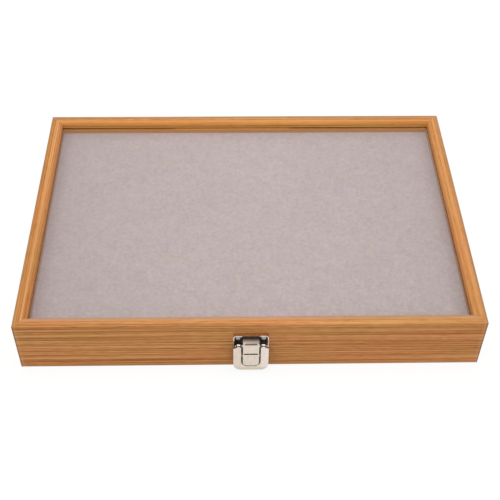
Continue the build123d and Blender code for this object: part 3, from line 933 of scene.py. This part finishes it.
def lever_patches(metal, x, y, z):
    """The plate is painted whiter towards one end as a brighter reflection, and greyer at its foot as a
    shaded reflection.

    What lies behind it is painted dark as shade, but for the tops of its rolled knuckles.
    """
    low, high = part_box("latch_lever")
    # Painted shade behind the plate, beside its knuckles and along its window's sides
    behind = metal.step(y, low.y + SHEET * 0.9, low.y + SHEET * 1.6)
    knuckle = metal.step(z, high.z - 4.0 * MM, high.z - 2.0 * MM)
    far_behind = metal.step(y, low.y + 1.6 * MM, low.y + 2.6 * MM)
    inner_ends = metal.step(x.distance(), 8.6 * MM, 8.0 * MM)
    inner_ends = inner_ends * metal.step(z, high.z - 1.9 * MM, high.z - 1.4 * MM)
    # Painted shaded reflection at the foot, and a painted brighter reflection towards one end
    foot = metal.step(z, low.z + 5.0 * MM, low.z + 1.0 * MM)
    brighter_end = metal.step(x, 5.0 * MM, 9.0 * MM) * 0.40
    strap_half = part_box("latch_strap")[1].x
    window_side = metal.step(x.distance().distance(strap_half + STRAP_SLIT), 0.14 * MM, 0.05 * MM)
    window_side = window_side * metal.step(z, low.z + 7.5 * MM, low.z + 8.5 * MM)
    return [
        (brighter_end, BRIGHT_REFLECTION, 0.0, 0.0),
        (foot, FOOT_REFLECTION_SHADE, 0.05, 0.0),
        darkened(window_side),
        darkened(behind * (1 - knuckle)),
        darkened(far_behind.either(inner_ends * 0.8)),
    ]


def strap_patches(metal, x, y, z):
    """The hook's top is painted pink as a reflection of the wood, and made rougher and less metallic, and
    towards its tip it is painted darker as shade. Its bend carries a painted dark reflection, and its cut
    edges and slot walls painted shade.
    """
    low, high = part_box("latch_strap")
    back = y - low.y
    down = high.z - z
    top = metal.step(down, 0.3 * MM, 0.05 * MM) * metal.step(back, 0.8 * MM, 1.2 * MM)
    behind = metal.step(back, SHEET * 0.9, SHEET * 1.6) * metal.step(down, SHEET, SHEET * 1.5)
    from_bend = back - down
    crease = metal.step(from_bend.distance(), 0.95 * MM, 0.45 * MM)
    middle = metal.step(x.distance(), 5.0 * MM, 4.2 * MM)
    sides = metal.step(high.x - x.distance(), 0.14 * MM, 0.05 * MM) * metal.step(down, 4.0 * MM, 5.0 * MM)
    slot_low = PIN_HEIGHT + SLOT_RISE - SLOT_HEIGHT / 2
    slot_high = PIN_HEIGHT + SLOT_RISE + SLOT_HEIGHT / 2
    slot_walls = metal.step(z, slot_low - 0.09 * MM, slot_low - 0.03 * MM)
    slot_walls = slot_walls * metal.step(z, slot_high + 0.09 * MM, slot_high + 0.03 * MM)
    slot_walls = slot_walls * metal.step(x.distance(), SLOT_LENGTH / 2 + 0.1 * MM, SLOT_LENGTH / 2)
    # Painted shade on cut edges, slot walls, tip and back, a painted dark reflection along the bend, and a
    # painted reflection of the wood on the top
    return [
        darkened(sides.either(slot_walls)),
        (top, WOOD_REFLECTION_PINK, 0.26, 0.75),
        (top * metal.step(back, 2.4 * MM, 6.0 * MM), TIP_SHADE, 0.0, 0.0),
        darkened(crease * middle * 0.85),
        darkened(behind),
    ]


# Dark copies of the nickel, painted shade for the strap pin and for the base plate behind the lever
shaded_pin_nickel = nickel("shaded_pin_nickel", (0.048, 0.038, 0.032), 0.36)
shaded_plate_nickel = nickel("shaded_plate_nickel", (0.14, 0.121, 0.106), 0.3)
dusty_nickel = nickel("dusty_nickel", (0.84, 0.81, 0.79), 0.36, shine=0.30)
LATCH_PARTS = {
    "latch_keeper": nickel("keeper_nickel", patches=keeper_patches),
    "latch_base_plate": shaded_plate_nickel,
    "latch_lever": nickel("lever_nickel", patches=lever_patches),
    "latch_strap": nickel("strap_nickel", patches=strap_patches),
}
for part, plating in LATCH_PARTS.items():
    dress(smooth_cad(part, 0.13 * MM), plating)
dress(smooth_cad("latch_pivot_pin", 0.2 * MM), screw_nickel)
dress(smooth_cad("strap_pin", 0.2 * MM), shaded_pin_nickel)
for node, body, seed, metal in (
    ("keeper_screws", "lid", 5, dusty_nickel),
    ("latch_base_screws", "base", 8, screw_nickel),
):
    low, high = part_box(node)
    radius = (high.z - low.z) / 2
    ends = (low.x + radius, high.x - radius)
    seats = [(x, low.y + SCREW_HEAD_HEIGHT, (low.z + high.z) / 2) for x in ends]
    drive_screws(node.replace("screws", "screw_heads"), seats, TO_FRONT, metal, seed, body, node)

# Studio. A plain white floor, which metal and glass see as white, with one broad soft box overhead and a
# white room all round.
FLOOR_SIZE = 8.0
FLOOR_DROP = 0.1 * MM
FLOOR_GLOW = 1.12
ROOM_FILL = 0.575
DIM_SIDE = Vector((0.0, -0.69, 0.72)).normalized()
floor = mesh_object(
    "studio_floor",
    lambda shape: bmesh.ops.create_grid(shape, x_segments=1, y_segments=1, size=FLOOR_SIZE / 2),
)
floor.data.transform(Matrix.Translation((0, 0, -FLOOR_DROP)))
paper = Finish("studio_paper")


def seen_directly(finish):
    """1 for the camera's rays and for those that metal and glass send on, 0 for the light's own."""
    kinds = ("Camera", "Glossy", "Transmission")
    camera_ray, glossy_ray, clear_ray = [
        finish.node("ShaderNodeLightPath", outlet=f"Is {kind} Ray") for kind in kinds
    ]
    return camera_ray.either(glossy_ray).either(clear_ray)


matt = paper.node("ShaderNodeBsdfDiffuse", values={"Color": (0.8, 0.8, 0.8, 1)})
lit = paper.node("ShaderNodeEmission", values={"Color": (1, 1, 1, 1), "Strength": FLOOR_GLOW})
shown = seen_directly(paper) * 0.8
floor.data.materials.append(paper.output(paper.node("ShaderNodeMixShader", values=[shown, matt, lit])))

# The room is dimmer above the front, which draws the dark lines along bright metal's bends
studio = Finish("studio", world=True)
bpy.context.scene.world = studio.owner
direction = studio.node("ShaderNodeTexCoord", outlet="Generated")
both = [direction, tuple(DIM_SIDE)]
towards_dim = studio.node("ShaderNodeVectorMath", {"operation": "DOT_PRODUCT"}, both, "Value")
glossy = studio.node("ShaderNodeLightPath", outlet="Is Glossy Ray")
dim = studio.step(towards_dim, 0.70, 0.93) * glossy * 0.8
fill, white = [
    studio.node("ShaderNodeBackground", values={"Color": (1, 1, 1, 1), "Strength": strength})
    for strength in (ROOM_FILL, 1 - dim)
]
studio.output(studio.node("ShaderNodeMixShader", values=[seen_directly(studio), fill, white]), "World")

lamp = bpy.data.lights.new("soft_box", "AREA")
lamp.shape = "RECTANGLE"
lamp.size = 0.72
lamp.size_y = 0.58
lamp.energy = 2.4
soft_box = new_object("soft_box", lamp)
soft_box.location = (-0.02, 0.03, 0.8)

# Camera. Its place, its turn and its lens were solved from the photograph's straight edges, for the box's
# real size.
FOCAL_LENGTH = 67.896
SENSOR_WIDTH = 36
CAMERA_PLACE = (-15.862 * MM, -559.449 * MM, 584.422 * MM)
PITCH = math.radians(46.2683)
YAW = math.radians(1.8418)
ROLL = math.radians(0.9428)
camera = new_object("camera", bpy.data.cameras.new("camera"))
camera.data.lens = FOCAL_LENGTH
camera.data.sensor_width = SENSOR_WIDTH
camera.data.clip_start = 0.01
pitched = Matrix.Rotation(math.pi / 2 - PITCH, 3, "X")
aim = Matrix.Rotation(-YAW, 3, "Z") @ pitched @ Matrix.Rotation(ROLL, 3, "Z")
camera.location = CAMERA_PLACE
camera.rotation_euler = aim.to_euler()
bpy.context.scene.camera = camera
bpy.context.scene.view_settings.view_transform = "Standard"
